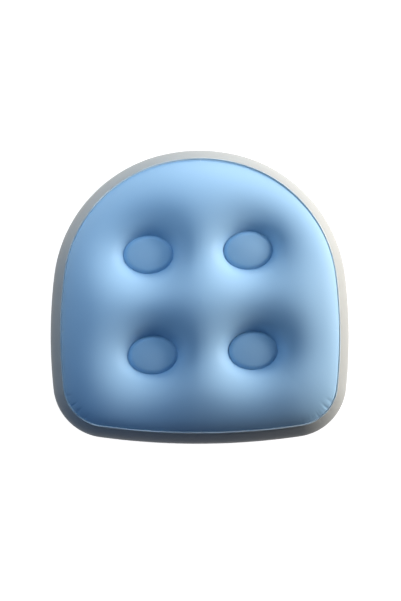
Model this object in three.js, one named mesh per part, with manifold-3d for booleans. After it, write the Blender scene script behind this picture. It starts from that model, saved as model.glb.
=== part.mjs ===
// An inflatable bath pillow: a D-shaped air cushion welded from PVC sheet, with four oval
// tension columns inside that draw dimples into both faces, an air valve in the back,
// and four suction cups that button into welded tabs and hold the pillow to the tub.
// Millimetres, +Z from the suction cups up to the blue face, +Y towards the round end.
import * as THREE from "three";
import { mergeVertices } from "three/addons/utils/BufferGeometryUtils.js";
import Module from "manifold-3d";

const wasm = await Module();
wasm.setup();

const degrees = THREE.MathUtils.degToRad;
const { cos, sin, hypot, min, max, PI } = Math;

// Outline of the D along its seams, made of tangent arcs
const SEAM_WIDTH = 348;
const SEAM_LENGTH = 343;
const CORNER_RADIUS = 53;
const CROWN_RADIUS = 190;
const BASE_TURN = degrees(8);
const SIDE_TURN = degrees(6.5);
const CROWN_TURN = degrees(13.6);
const BASE_STEPS = 3;
const CORNER_STEPS = 7;
const SIDE_STEPS = 2;
const SHOULDER_STEPS = 8;
const CROWN_STEPS = 2;

// Sheets, seams and the side wall. SEAT is the gap between pieces that lie on each other
const SHEET = 0.5;
const SEAT = 0.3;
const WALL_HEIGHT = 60;
const WALL_BULGE = 16;
const WALL_STEPS = 8;
const LIP_HEIGHT = 1.8;

// How far each face swells out of its seam plane, and how square the swell is towards the seam
const FACE_RISE = 20;
const BACK_RISE = 13;
const RISE_POWER = 4;
const RISE_ROUNDNESS = 0.7;

// The four oval welds and the columns between them
const WELD_WIDTH = 62;
const WELD_HEIGHT = 48.2;
const WELD_SPACING_X = 125.6;
const WELD_SPACING_Y = 126;
const WELD_CENTRE_Y = -9.5;
const WELD_TURN = degrees(2.5);
const WELD_BAND = 2.6;
const WELD_SINK = 1;
const WELD_PUFF = 3;
const WELD_STEPS = 20;
const DIMPLE_RUN = 17;
const COLUMN_STEPS = 24;
const VENT_RADIUS = 6;
const VENT_STEPS = 12;

// Suction cups, and how far their middles lie in from the seam's widest lines
const CUP_RADIUS = 22.5;
const CUP_RIM = 1.5;
const CUP_HEIGHT = 14;
const CUP_HOLLOW = 8;
const CUP_SKIRT = 1.1;
const CUP_BOSS_RADIUS = 5.6;
const CUP_BOSS_HEIGHT = 1.9;
const NECK_RADIUS = 3;
const HEAD_RADIUS = 5.6;
const HEAD_HEIGHT = 3.2;
const HEAD_BEVEL = 1.3;
const ROUND_STEPS = 20;
const LOWER_CUP_INSET_X = 58;
const LOWER_CUP_INSET_Y = 60;
const UPPER_CUP_INSET_X = 94;
const UPPER_CUP_INSET_Y = 65;

// Tabs that hold the suction cups: a flange on the back panel round a hat with room for the head
const TAB_FLANGE = 1;
const TAB_FLANGE_WIDTH = 8;
const TAB_PLATE = 1.2;
const TAB_WALL = 1.2;
const HAT_DRAFT = 1;
const HEAD_SIDE_ROOM = 2.7;
const HEAD_ROOM = 0.6;

// Air valve: a flange with a well, and a stem that pulls out of the well
const VALVE_FLANGE = 1;
const VALVE_FLANGE_WIDTH = 6.5;
const WELL_RADIUS = 10.4;
const WELL_WALL = 0.9;
const WELL_DEPTH = 11;
const BORE_RADIUS = 3.6;
const STEM_WALL = 1.4;
const STEM_TRAVEL = 7.5;
const STEM_PROUD = 0.5;
const BEAD_WIDTH = 0.8;
const BEAD_HEIGHT = 1.5;
const COLLAR_WIDTH = 2;
const COLLAR_HEIGHT = 1;
const EAR_WIDTH = 4;
const EAR_HEIGHT = 1;
const KNUCKLE = 1.1;

// Plug on its strap, and the check flap
const PLUG_LAP = 0.7;
const PLUG_CAP = 1.6;
const PEG_LENGTH = 3;
const PEG_TAPER = 1;
const STRAP_WIDTH = 3.6;
const STRAP_THICKNESS = 0.8;
const STRAP_LENGTH = 0.6;
const PULL_WIDTH = 5;
const PULL_LENGTH = 3.5;
const PULL_THICKNESS = 1;
const FLAP_LAP = 0.9;
const FLAP_THICKNESS = 0.6;
const FLAP_TONGUE_WIDTH = 3;
const FLAP_TONGUE = 1.2;

// Cutters run this far past what they cut
const OVERRUN = 20;

// Finishes
const flockedPvc = { color: 0x7fb0dc, roughness: 0.62, metalness: 0 };
const greyPvc = { color: 0xa9acaa, roughness: 0.42, metalness: 0 };
const columnPvc = { color: 0x86a9c8, roughness: 0.5, metalness: 0 };
const clearPvc = { color: 0xd5dee2, roughness: 0.22, metalness: 0 };

const point = (x, y) => ({ x, y });
const mix = (a, b, t) => a + (b - a) * t;
const mixPoints = (p, q, t) => point(mix(p.x, q.x, t), mix(p.y, q.y, t));

// Solids and geometry

function solidOf(geometry) {
  const bare = geometry.clone();
  bare.deleteAttribute("normal");
  bare.deleteAttribute("uv");
  const merged = mergeVertices(bare);
  return new wasm.Manifold(
    new wasm.Mesh({
      numProp: 3,
      vertProperties: merged.attributes.position.array,
      triVerts: new Uint32Array(merged.index.array),
    }),
  );
}

function geometryOf(solid) {
  const mesh = solid.getMesh();
  const geometry = new THREE.BufferGeometry();
  geometry.setAttribute("position", new THREE.BufferAttribute(mesh.vertProperties, 3));
  geometry.setIndex(new THREE.BufferAttribute(mesh.triVerts, 1));
  geometry.computeVertexNormals();
  return geometry;
}

function geometryOfTriangles(triangles) {
  const geometry = new THREE.BufferGeometry();
  geometry.setAttribute("position", new THREE.Float32BufferAttribute(triangles.flat(2), 3));
  return mergeVertices(geometry);
}

// A body turned about +Z from a profile of [radius, height] points
function turned(profile, steps = ROUND_STEPS) {
  const points = profile.map(([radius, height]) => new THREE.Vector2(radius, height));
  return new THREE.LatheGeometry(points, steps).rotateX(PI / 2);
}

const placed = (geometry, x, y, z) => geometry.translate(x, y, z);

function disc(radius, bottom, top, at = point(0, 0), steps = ROUND_STEPS) {
  const profile = [
    [0, bottom],
    [radius, bottom],
    [radius, top],
    [0, top],
  ];
  return solidOf(placed(turned(profile, steps), at.x, at.y, 0));
}

function block(from, to) {
  const size = [0, 1, 2].map((axis) => to[axis] - from[axis]);
  const middle = [0, 1, 2].map((axis) => (to[axis] + from[axis]) / 2);
  return solidOf(new THREE.BoxGeometry(...size).translate(...middle));
}

// A closed ring: a section of [outward, height] points carried round a loop of points with normals
function ringGeometry(section, loop) {
  const at = (station, corner) => {
    const p = loop[station % loop.length];
    const [out, z] = section[corner % section.length];
    return [p.x + p.nx * out, p.y + p.ny * out, z];
  };
  const triangles = [];
  loop.forEach((unused, i) => {
    section.forEach((alsoUnused, j) => {
      const [a, b, c, d] = [at(i, j), at(i + 1, j), at(i + 1, j + 1), at(i, j + 1)];
      triangles.push([a, b, c], [a, c, d]);
    });
  });
  return geometryOfTriangles(triangles);
}

// The D outline

// Radii of the base, side and shoulder arcs that give the D its width and its length. Each
// closure is linear in the side's radius, so two lengths give the radius that closes the D
function solveArcs() {
  const [base, lower, upper, crown] = [-PI / 2 + BASE_TURN, -SIDE_TURN, SIDE_TURN, PI / 2 - CROWN_TURN];
  const half = SEAM_WIDTH / 2;
  const baseRadius = (side) =>
    (half - CORNER_RADIUS * (cos(lower) - cos(base)) - side * (1 - cos(lower))) / cos(base);
  const shoulder = (side) =>
    (half - CROWN_RADIUS * cos(crown) - side * (1 - cos(upper))) / (cos(upper) - cos(crown));
  const length = (side) =>
    baseRadius(side) * (1 + sin(base)) +
    CORNER_RADIUS * (sin(lower) - sin(base)) +
    side * (sin(upper) - sin(lower)) +
    shoulder(side) * (sin(crown) - sin(upper)) +
    CROWN_RADIUS * (1 - sin(crown));
  const slope = (length(SEAM_LENGTH) - length(0)) / SEAM_LENGTH;
  const side = (SEAM_LENGTH - length(0)) / slope;
  return [
    { radius: baseRadius(side), to: base, steps: BASE_STEPS },
    { radius: CORNER_RADIUS, to: lower, steps: CORNER_STEPS },
    { radius: side, to: 0, steps: SIDE_STEPS },
    { radius: side, to: upper, steps: SIDE_STEPS },
    { radius: shoulder(side), to: crown, steps: SHOULDER_STEPS },
    { radius: CROWN_RADIUS, to: PI / 2, steps: CROWN_STEPS },
  ];
}

// The right half from the middle of the straight end to the top of the crown
function rightHalf() {
  let turn = -PI / 2;
  let at = point(0, -SEAM_LENGTH / 2);
  const points = [{ ...at, nx: 0, ny: -1 }];
  for (const arc of solveArcs()) {
    const centre = point(at.x - arc.radius * cos(turn), at.y - arc.radius * sin(turn));
    for (let step = 1; step <= arc.steps; step++) {
      const angle = mix(turn, arc.to, step / arc.steps);
      const [nx, ny] = [cos(angle), sin(angle)];
      points.push({ x: centre.x + arc.radius * nx, y: centre.y + arc.radius * ny, nx, ny });
    }
    turn = arc.to;
    at = points[points.length - 1];
  }
  return points;
}

const RIGHT = rightHalf();
const LEFT = RIGHT.slice(1, -1)
  .reverse()
  .map((p) => ({ x: -p.x, y: p.y, nx: -p.nx, ny: p.ny }));
const SEAM = [...RIGHT, ...LEFT];
const LOWER_STEPS = BASE_STEPS + CORNER_STEPS + SIDE_STEPS;
const HALF_STEPS = RIGHT.length - 1;

// Where a point lies on the scale of the whole D, taken from the middle of the welds:
// 0 there, 1 on the seam. The furthest of the seam's tangents decides
function seamScale(x, y) {
  const along = (p, px, py) => p.nx * px + p.ny * (py - WELD_CENTRE_Y);
  return max(...SEAM.map((p) => along(p, x, y) / along(p, p.x, p.y)));
}

// The oval welds

const WELDS = [
  { name: "upper_left", side: -1, end: 1 },
  { name: "upper_right", side: 1, end: 1 },
  { name: "lower_left", side: -1, end: -1 },
  { name: "lower_right", side: 1, end: -1 },
].map((weld) => {
  const [x, y] = [(weld.side * WELD_SPACING_X) / 2, (weld.end * WELD_SPACING_Y) / 2];
  return {
    ...weld,
    x: x * cos(WELD_TURN) - y * sin(WELD_TURN),
    y: x * sin(WELD_TURN) + y * cos(WELD_TURN) + WELD_CENTRE_Y,
  };
});

// A point of a weld's edge and the outward normal there, at an angle round the oval
function weldPoint(weld, angle) {
  const [a, b] = [WELD_WIDTH / 2, WELD_HEIGHT / 2];
  const [x, y] = [a * cos(angle), b * sin(angle)];
  const [nx, ny] = [cos(angle) / a, sin(angle) / b];
  const length = hypot(nx, ny);
  const [c, s] = [cos(WELD_TURN), sin(WELD_TURN)];
  return {
    x: weld.x + x * c - y * s,
    y: weld.y + x * s + y * c,
    nx: (nx * c - ny * s) / length,
    ny: (nx * s + ny * c) / length,
  };
}

function weldLoop(weld) {
  return Array.from({ length: COLUMN_STEPS }, (unused, i) => weldPoint(weld, (2 * PI * i) / COLUMN_STEPS));
}

// Where a point lies on the scale of a weld's oval: under 1 inside it, 1 on its edge
function weldScale(weld, x, y) {
  const [dx, dy] = [x - weld.x, y - weld.y];
  const [c, s] = [cos(WELD_TURN), sin(WELD_TURN)];
  return hypot((dx * c + dy * s) / (WELD_WIDTH / 2), (dy * c - dx * s) / (WELD_HEIGHT / 2));
}

// How far a face stands out of its seam plane: a crown that levels off inside the seam,
// drawn down to the welds, with a small puff of air inside each weld's band
function faceHeight(x, y, rise) {
  const crown = rise * max(0, 1 - seamScale(x, y) ** RISE_POWER) ** RISE_ROUNDNESS;
  let pull = 1;
  for (const weld of WELDS) {
    const scale = weldScale(weld, x, y);
    const bandScale = 1 - (2 * WELD_BAND) / WELD_HEIGHT;
    if (scale <= 1) {
      const puff = 1 - min(scale / bandScale, 1) ** 4;
      return WELD_PUFF * puff - WELD_SINK;
    }
    const outside = hypot(x - weld.x, y - weld.y) * (1 - 1 / scale);
    pull *= 1 - Math.exp(-outside / DIMPLE_RUN);
  }
  return (crown + WELD_SINK) * pull - WELD_SINK;
}

// The faces' triangles, as seen from above: four sectors, each a web of rings round one weld

const ringShares = [0.17, 0.46, 0.82, 1];
const puffShares = [0, 0.62];

// The corners of one sector: its stretch of the seam, then the two lines back through the middle
function sectorBoundary(weld) {
  const stations = weld.end < 0 ? [0, LOWER_STEPS] : [LOWER_STEPS, HALF_STEPS];
  const edge = [];
  for (let i = stations[0]; i <= stations[1]; i++) {
    const station = weld.side > 0 ? i : (SEAM.length - i) % SEAM.length;
    edge.push({ x: SEAM[station].x, y: SEAM[station].y, station });
  }
  const anticlockwise = weld.side > 0 ? edge : edge.reverse();
  const middle = point(0, WELD_CENTRE_Y);
  const lineSteps = (WELD_STEPS - (edge.length - 1)) / 2;
  const first = anticlockwise[0];
  const last = anticlockwise[edge.length - 1];
  const inward = [];
  for (let i = 1; i <= lineSteps; i++) inward.push(mixPoints(last, middle, i / lineSteps));
  for (let i = 1; i < lineSteps; i++) inward.push(mixPoints(middle, first, i / lineSteps));
  return [...anticlockwise, ...inward];
}

// Angles round the weld, part way between even steps and straight towards each boundary corner
function sectorAngles(weld, boundary) {
  let last = -Infinity;
  const towards = boundary.map((p) => {
    const [dx, dy] = [(p.x - weld.x) / WELD_WIDTH, (p.y - weld.y) / WELD_HEIGHT];
    let angle = Math.atan2(dy, dx) - WELD_TURN;
    while (angle < last) angle += 2 * PI;
    last = angle;
    return angle;
  });
  const start = towards[0];
  return towards.map((angle, i) => mix(angle, start + (2 * PI * i) / boundary.length, 1 / 2));
}

function planTriangles() {
  const triangles = [];
  for (const weld of WELDS) {
    const boundary = sectorBoundary(weld);
    const edge = sectorAngles(weld, boundary).map((angle) => weldPoint(weld, angle));
    const band = edge.map((p) => point(p.x - p.nx * WELD_BAND, p.y - p.ny * WELD_BAND));
    const puffs = puffShares.slice(1).map((share) => band.map((p) => mixPoints(weld, p, share)));
    const webs = ringShares.map((share) =>
      edge.map((p, i) => (share === 1 ? boundary[i] : mixPoints(p, boundary[i], share))),
    );
    const rings = [...puffs, band, edge, ...webs];
    edge.forEach((unused, i) => {
      const next = (i + 1) % edge.length;
      triangles.push([point(weld.x, weld.y), rings[0][i], rings[0][next]]);
      for (let ring = 1; ring < rings.length; ring++) {
        const [inner, outer] = [rings[ring - 1], rings[ring]];
        triangles.push([inner[i], outer[i], outer[next]], [inner[i], outer[next], inner[next]]);
      }
    });
  }
  return triangles;
}

const PLAN = planTriangles();

// A layer over the whole D between two heights. Its rim is a list of [outward, height] corners,
// from the edge of the upper surface round to the edge of the lower one
function layerGeometry(upper, lower, rim) {
  const corner = (p, height, [out, z]) => {
    if (p.station === undefined) return [p.x, p.y, height(p.x, p.y)];
    const seam = SEAM[p.station];
    return [seam.x + seam.nx * out, seam.y + seam.ny * out, z];
  };
  const surface = (height, edge) => PLAN.map((t) => t.map((p) => corner(p, height, edge)));
  const over = surface(upper, rim[0]);
  const under = surface(lower, rim[rim.length - 1]).map(([a, b, c]) => [a, c, b]);
  const sides = [];
  SEAM.forEach((unused, i) => {
    const pair = [{ station: i }, { station: (i + 1) % SEAM.length }];
    for (let j = 1; j < rim.length; j++) {
      const [a, b] = pair.map((p) => corner(p, null, rim[j - 1]));
      const [d, c] = pair.map((p) => corner(p, null, rim[j]));
      sides.push([a, c, b], [a, d, c]);
    }
  });
  return geometryOfTriangles([...over, ...under, ...sides]);
}

// Heights of the stack, from the suction cups' rims at zero

const TAB_BOTTOM = CUP_HEIGHT + SEAT;
const TAB_TOP = TAB_BOTTOM + TAB_PLATE;
const HEAD_BOTTOM = TAB_TOP + SEAT;
const HEAD_TOP = HEAD_BOTTOM + HEAD_HEIGHT;
const CUPS = [
  { name: "upper_left", side: -1, end: 1, insetX: UPPER_CUP_INSET_X, insetY: UPPER_CUP_INSET_Y },
  { name: "upper_right", side: 1, end: 1, insetX: UPPER_CUP_INSET_X, insetY: UPPER_CUP_INSET_Y },
  { name: "lower_left", side: -1, end: -1, insetX: LOWER_CUP_INSET_X, insetY: LOWER_CUP_INSET_Y },
  { name: "lower_right", side: 1, end: -1, insetX: LOWER_CUP_INSET_X, insetY: LOWER_CUP_INSET_Y },
].map((cup) => ({
  name: cup.name,
  x: cup.side * (SEAM_WIDTH / 2 - cup.insetX),
  y: cup.end * (SEAM_LENGTH / 2 - cup.insetY),
}));
const VALVE = point(0, WELD_CENTRE_Y);
// The back is lifted until its swell clears the head of every suction cup
const deepest = CUPS.map((cup) =>
  [0, 1, 2, 3, 4, 5, 6, 7].map((i) => {
    const angle = (i * PI) / 4;
    return faceHeight(cup.x + HEAD_RADIUS * cos(angle), cup.y + HEAD_RADIUS * sin(angle), BACK_RISE);
  }),
).flat();
const BACK_SEAM_Z = HEAD_TOP + HEAD_ROOM + max(...deepest);
const FACE_SEAM_Z = BACK_SEAM_Z + WALL_HEIGHT;

const faceSkin = (x, y) => FACE_SEAM_Z + faceHeight(x, y, FACE_RISE);
const backSkin = (x, y) => BACK_SEAM_Z - faceHeight(x, y, BACK_RISE);

// The wall bulges as a circular arc, and each seam's lip stands square to it at the arc's end
const WALL_RADIUS = ((WALL_HEIGHT / 2) ** 2 + WALL_BULGE ** 2) / (2 * WALL_BULGE);
const WALL_HALF_ANGLE = Math.asin(WALL_HEIGHT / 2 / WALL_RADIUS);
const LIP = { out: cos(WALL_HALF_ANGLE), up: sin(WALL_HALF_ANGLE) };

// A corner near the seam: so far along the sheet, away from the panel, and so far out along the lip
function seamCorner(along, proud, seamZ, up) {
  return [along * LIP.up + proud * LIP.out, seamZ + up * (proud * LIP.up - along * LIP.out)];
}

// The panel's edge turns out into the inner half of the lip
function panelRim(seamZ, up) {
  const [near, far] = [-SEAT / 2, -SEAT / 2 - SHEET];
  return [
    seamCorner(far, 0, seamZ, up),
    seamCorner(far, LIP_HEIGHT, seamZ, up),
    seamCorner(near, LIP_HEIGHT, seamZ, up),
    seamCorner(near, -SHEET, seamZ, up),
  ];
}

// Sheets

function facePanel() {
  const inner = (x, y) => faceSkin(x, y) - SHEET;
  return layerGeometry(faceSkin, inner, panelRim(FACE_SEAM_Z, 1));
}

function backPanel() {
  const inner = (x, y) => backSkin(x, y) + SHEET;
  const sheet = solidOf(layerGeometry(inner, backSkin, panelRim(BACK_SEAM_Z, -1).reverse()));
  const hole = disc(WELL_RADIUS + SEAT, BACK_SEAM_Z - OVERRUN, BACK_SEAM_Z + OVERRUN, VALVE);
  return geometryOf(sheet.subtract(hole));
}

function sideWall() {
  const centreZ = (BACK_SEAM_Z + FACE_SEAM_Z) / 2;
  const centreOut = -WALL_RADIUS * cos(WALL_HALF_ANGLE);
  const arc = (radius, inset) => {
    const half = WALL_HALF_ANGLE - inset / WALL_RADIUS;
    return Array.from({ length: WALL_STEPS + 1 }, (unused, i) => {
      const angle = mix(-half, half, i / WALL_STEPS);
      return [centreOut + radius * cos(angle), centreZ + radius * sin(angle)];
    });
  };
  const [near, far] = [SEAT / 2, SEAT / 2 + SHEET];
  const section = [
    ...arc(WALL_RADIUS, far),
    seamCorner(far, LIP_HEIGHT, FACE_SEAM_Z, 1),
    seamCorner(near, LIP_HEIGHT, FACE_SEAM_Z, 1),
    ...arc(WALL_RADIUS - SHEET, near).reverse(),
    seamCorner(near, LIP_HEIGHT, BACK_SEAM_Z, -1),
    seamCorner(far, LIP_HEIGHT, BACK_SEAM_Z, -1),
  ];
  return ringGeometry(section, SEAM);
}

// A tension column: an oval tube of sheet with both ends turned out under the weld bands,
// and a vent through its walls that lets the air reach the puff inside the weld
function column(weld) {
  const top = FACE_SEAM_Z - WELD_SINK - SHEET - SEAT;
  const bottom = BACK_SEAM_Z + WELD_SINK + SHEET + SEAT;
  const [outer, inner] = [-WELD_BAND, -WELD_BAND - SHEET];
  const tube = ringGeometry(
    [
      [outer, bottom + SHEET],
      [outer, top - SHEET],
      [0, top - SHEET],
      [0, top],
      [inner, top],
      [inner, bottom],
      [0, bottom],
      [0, bottom + SHEET],
    ],
    weldLoop(weld),
  );
  const reach = WELD_WIDTH / 2 + OVERRUN;
  const vent = new THREE.CylinderGeometry(VENT_RADIUS, VENT_RADIUS, 2 * reach, VENT_STEPS)
    .rotateZ(PI / 2)
    .translate(weld.x, weld.y, (top + bottom) / 2);
  return geometryOf(solidOf(tube).subtract(solidOf(vent)));
}

// Everything below the back panel, with a gap under its outer skin, cut to a round patch:
// a soft flange that lies on the panel and follows its swell
const blockUnderBack = (drop) =>
  solidOf(
    layerGeometry(
      () => FACE_SEAM_Z,
      (x, y) => backSkin(x, y) - drop,
      [
        [0, FACE_SEAM_Z],
        [0, BACK_SEAM_Z - drop],
      ],
    ),
  );

const SEATED = blockUnderBack(SEAT);

function weldedFlange(radius, thickness, at) {
  const patch = disc(radius, 0, BACK_SEAM_Z + OVERRUN, at);
  return blockUnderBack(SEAT + thickness).intersect(patch).subtract(SEATED);
}

// Suction cups and their tabs

const cupProfile = () => {
  const inner = CUP_RADIUS - CUP_RIM;
  const domeShares = [0.3, 0.55, 0.8];
  const hollow = domeShares.map((share) => [inner * share, CUP_HOLLOW * (1 - share ** 3)]);
  const crown = CUP_HEIGHT - CUP_BOSS_HEIGHT;
  const skirt = [1, ...domeShares.slice().reverse()].map((share) => [
    mix(CUP_BOSS_RADIUS, CUP_RADIUS, share),
    mix(crown, CUP_SKIRT, share ** 1.5),
  ]);
  return [
    [0, CUP_HOLLOW],
    ...hollow,
    [inner, 0],
    [CUP_RADIUS, 0],
    ...skirt,
    [CUP_BOSS_RADIUS, crown],
    [CUP_BOSS_RADIUS, CUP_HEIGHT],
    [NECK_RADIUS, CUP_HEIGHT],
    [NECK_RADIUS, HEAD_BOTTOM],
    [HEAD_RADIUS, HEAD_BOTTOM],
    [HEAD_RADIUS, HEAD_TOP - HEAD_BEVEL],
    [HEAD_RADIUS - HEAD_BEVEL, HEAD_TOP],
    [0, HEAD_TOP],
  ];
};

const suctionCup = (cup) => placed(turned(cupProfile()), cup.x, cup.y, 0);

// A top-hat patch: its brim is welded to the back panel and its crown has the neck's hole
function cupTab(cup) {
  const top = BACK_SEAM_Z;
  const roomRadius = HEAD_RADIUS + HEAD_SIDE_ROOM;
  const hatRadius = roomRadius + TAB_WALL;
  const flangeRadius = hatRadius + HAT_DRAFT + TAB_FLANGE_WIDTH;
  const hat = (radius, bottom) =>
    solidOf(
      placed(
        turned([
          [0, bottom],
          [radius, bottom],
          [radius + HAT_DRAFT, top],
          [0, top],
        ]),
        cup.x,
        cup.y,
        0,
      ),
    );
  const hole = disc(NECK_RADIUS + SEAT, 0, top, cup);
  const shell = weldedFlange(flangeRadius, TAB_FLANGE, cup).add(hat(hatRadius, TAB_BOTTOM));
  return geometryOf(shell.subtract(SEATED).subtract(hat(roomRadius, TAB_TOP)).subtract(hole));
}

// Air valve

const VALVE_FACE = backSkin(VALVE.x, VALVE.y) - SEAT - VALVE_FLANGE;
const STEM_RADIUS = BORE_RADIUS + STEM_WALL;
const BEAD_RADIUS = STEM_RADIUS + BEAD_WIDTH;
const COLLAR_RADIUS = STEM_RADIUS + COLLAR_WIDTH;
const MOUTH = VALVE_FACE - STEM_PROUD;
const STEM_END = VALVE_FACE + WELL_DEPTH + STEM_TRAVEL + SEAT + COLLAR_HEIGHT;
const PLUG_RADIUS = BEAD_RADIUS + PLUG_LAP;
const PLUG_FACE = MOUTH - SEAT - PLUG_CAP;
// The plug turns about this line, level with its outer face and halfway to the stem's knuckle
const PLUG_HINGE_REACH = PLUG_RADIUS + STRAP_LENGTH + SEAT / 2;
const FLAP_REACH = BORE_RADIUS + FLAP_LAP;
const FLAP_HINGE_REACH = FLAP_REACH + FLAP_TONGUE;
const atValve = (geometry) => placed(geometry, VALVE.x, VALVE.y, 0);

// A block beside the valve, between two reaches from its axis along X
const valveBlock = (fromX, toX, width, bottom, top) =>
  block([VALVE.x + fromX, VALVE.y - width / 2, bottom], [VALVE.x + toX, VALVE.y + width / 2, top]);

function valveBase() {
  const floor = VALVE_FACE + WELL_DEPTH;
  const inside = WELL_RADIUS - WELL_WALL;
  const well = solidOf(
    atValve(
      turned([
        [inside, VALVE_FACE],
        [WELL_RADIUS, VALVE_FACE],
        [WELL_RADIUS, floor],
        [STEM_RADIUS + SEAT, floor],
        [STEM_RADIUS + SEAT, floor - WELL_WALL],
        [inside, floor - WELL_WALL],
        [inside, VALVE_FACE],
      ]),
    ),
  );
  const opening = disc(inside, 0, VALVE_FACE + OVERRUN, VALVE);
  const flange = weldedFlange(WELL_RADIUS + VALVE_FLANGE_WIDTH, VALVE_FLANGE, VALVE);
  return geometryOf(flange.subtract(opening).add(well));
}

// The stem: a tube with a sealing bead at its mouth, a collar that stops it at the well's floor,
// and an ear whose knuckle holds the plug's strap
function valveStem() {
  const tube = solidOf(
    atValve(
      turned([
        [BORE_RADIUS, MOUTH],
        [BEAD_RADIUS, MOUTH],
        [BEAD_RADIUS, MOUTH + BEAD_HEIGHT],
        [STEM_RADIUS, MOUTH + BEAD_HEIGHT],
        [STEM_RADIUS, STEM_END - COLLAR_HEIGHT],
        [COLLAR_RADIUS, STEM_END - COLLAR_HEIGHT],
        [COLLAR_RADIUS, STEM_END],
        [BORE_RADIUS, STEM_END],
        [BORE_RADIUS, MOUTH],
      ]),
    ),
  );
  const knuckle = PLUG_HINGE_REACH + SEAT / 2;
  const earEnd = knuckle + KNUCKLE;
  const ear = valveBlock(-earEnd, -BORE_RADIUS - STEM_WALL / 2, EAR_WIDTH, MOUTH, MOUTH + EAR_HEIGHT);
  const drop = valveBlock(-earEnd, -knuckle, EAR_WIDTH, PLUG_FACE + SEAT / 2, MOUTH + EAR_HEIGHT);
  return geometryOf(tube.add(ear).add(drop));
}

function valvePlug() {
  const under = MOUTH - SEAT;
  const pegRadius = BORE_RADIUS - SEAT;
  const cap = solidOf(
    atValve(
      turned([
        [0, PLUG_FACE],
        [PLUG_RADIUS, PLUG_FACE],
        [PLUG_RADIUS, under],
        [pegRadius, under],
        [pegRadius - PEG_TAPER, under + PEG_LENGTH],
        [0, under + PEG_LENGTH],
      ]),
    ),
  );
  const strapEnd = PLUG_HINGE_REACH - SEAT / 2;
  const strap = valveBlock(-strapEnd, -pegRadius, STRAP_WIDTH, PLUG_FACE, PLUG_FACE + STRAP_THICKNESS);
  const pullEnd = PLUG_RADIUS + PULL_LENGTH;
  const pull = valveBlock(pegRadius, pullEnd, PULL_WIDTH, PLUG_FACE, PLUG_FACE + PULL_THICKNESS);
  return geometryOf(cap.add(strap).add(pull));
}

// The flap lies over the stem's inner end, held to the collar by its tongue
function checkFlap() {
  const bottom = STEM_END + SEAT;
  const top = bottom + FLAP_THICKNESS;
  const leaf = disc(FLAP_REACH, bottom, top, VALVE);
  const tongue = valveBlock(-FLAP_HINGE_REACH, -BORE_RADIUS / 2, FLAP_TONGUE_WIDTH, bottom, top);
  return geometryOf(leaf.add(tongue));
}

// The pillow

const pillow = new THREE.Group();

function addPiece(name, geometry, finish) {
  const mesh = new THREE.Mesh(geometry, new THREE.MeshStandardMaterial(finish));
  mesh.name = name;
  pillow.add(mesh);
}

addPiece("face_panel", facePanel(), flockedPvc);
addPiece("side_wall", sideWall(), greyPvc);
addPiece("back_panel", backPanel(), greyPvc);
for (const weld of WELDS) addPiece(`column_${weld.name}`, column(weld), columnPvc);
for (const cup of CUPS) {
  addPiece(`cup_tab_${cup.name}`, cupTab(cup), greyPvc);
  addPiece(`suction_cup_${cup.name}`, suctionCup(cup), clearPvc);
}
addPiece("valve_base", valveBase(), clearPvc);
addPiece("valve_stem", valveStem(), clearPvc);
addPiece("valve_plug", valvePlug(), clearPvc);
addPiece("check_flap", checkFlap(), clearPvc);

export default pillow;
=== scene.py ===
# The looks of an inflatable bath pillow: a D-shaped air cushion of welded PVC sheet with four
# dimples, an air valve and four suction cups in its back. Metres, +Z out of the blue face.
from collections import Counter
from math import asin, cos, pi, radians, sin, tan

import bmesh
import bpy
import numpy as np
from mathutils import Matrix, Vector
from mathutils.bvhtree import BVHTree
from mathutils.interpolate import poly_3d_calc


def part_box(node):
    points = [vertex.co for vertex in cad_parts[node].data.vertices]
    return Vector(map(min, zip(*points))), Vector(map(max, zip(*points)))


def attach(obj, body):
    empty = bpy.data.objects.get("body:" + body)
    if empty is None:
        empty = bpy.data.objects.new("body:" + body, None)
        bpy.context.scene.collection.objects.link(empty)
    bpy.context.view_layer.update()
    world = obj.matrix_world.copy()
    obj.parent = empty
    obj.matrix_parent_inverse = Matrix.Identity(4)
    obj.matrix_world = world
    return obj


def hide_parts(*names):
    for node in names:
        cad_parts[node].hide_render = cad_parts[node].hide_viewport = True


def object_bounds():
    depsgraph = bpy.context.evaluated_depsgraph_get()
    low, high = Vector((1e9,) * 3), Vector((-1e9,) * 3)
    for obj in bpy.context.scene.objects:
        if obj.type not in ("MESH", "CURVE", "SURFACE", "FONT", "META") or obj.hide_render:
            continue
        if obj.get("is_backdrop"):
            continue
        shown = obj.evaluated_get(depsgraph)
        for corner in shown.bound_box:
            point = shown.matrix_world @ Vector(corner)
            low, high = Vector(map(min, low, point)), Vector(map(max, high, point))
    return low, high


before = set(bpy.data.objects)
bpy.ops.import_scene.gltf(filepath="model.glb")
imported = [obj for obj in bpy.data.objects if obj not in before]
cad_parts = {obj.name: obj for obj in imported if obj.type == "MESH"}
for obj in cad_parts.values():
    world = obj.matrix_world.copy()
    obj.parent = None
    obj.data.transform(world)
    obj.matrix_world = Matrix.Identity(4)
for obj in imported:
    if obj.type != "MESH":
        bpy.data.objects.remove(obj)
cad_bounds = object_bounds()
wall_low, wall_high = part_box("side_wall")
equator = (wall_low.z + wall_high.z) / 2


# Camera
# It looks nearly square down on the face, a little from the left and from the straight end,
# so that more of the grey wall shows there than at the right and round the crown.

CAMERA_DISTANCE = 1.413
CAMERA_TARGET = Vector((0.00055, -0.0054, equator))
CAMERA_LEAN = (radians(1.7736), radians(3.4454))
CAMERA_ROLL = radians(-0.119)
CAMERA_LENS = 66.19


def in_scene(name, data):
    """A new object in the scene."""
    obj = bpy.data.objects.new(name, data)
    bpy.context.scene.collection.objects.link(obj)
    return obj


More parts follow.
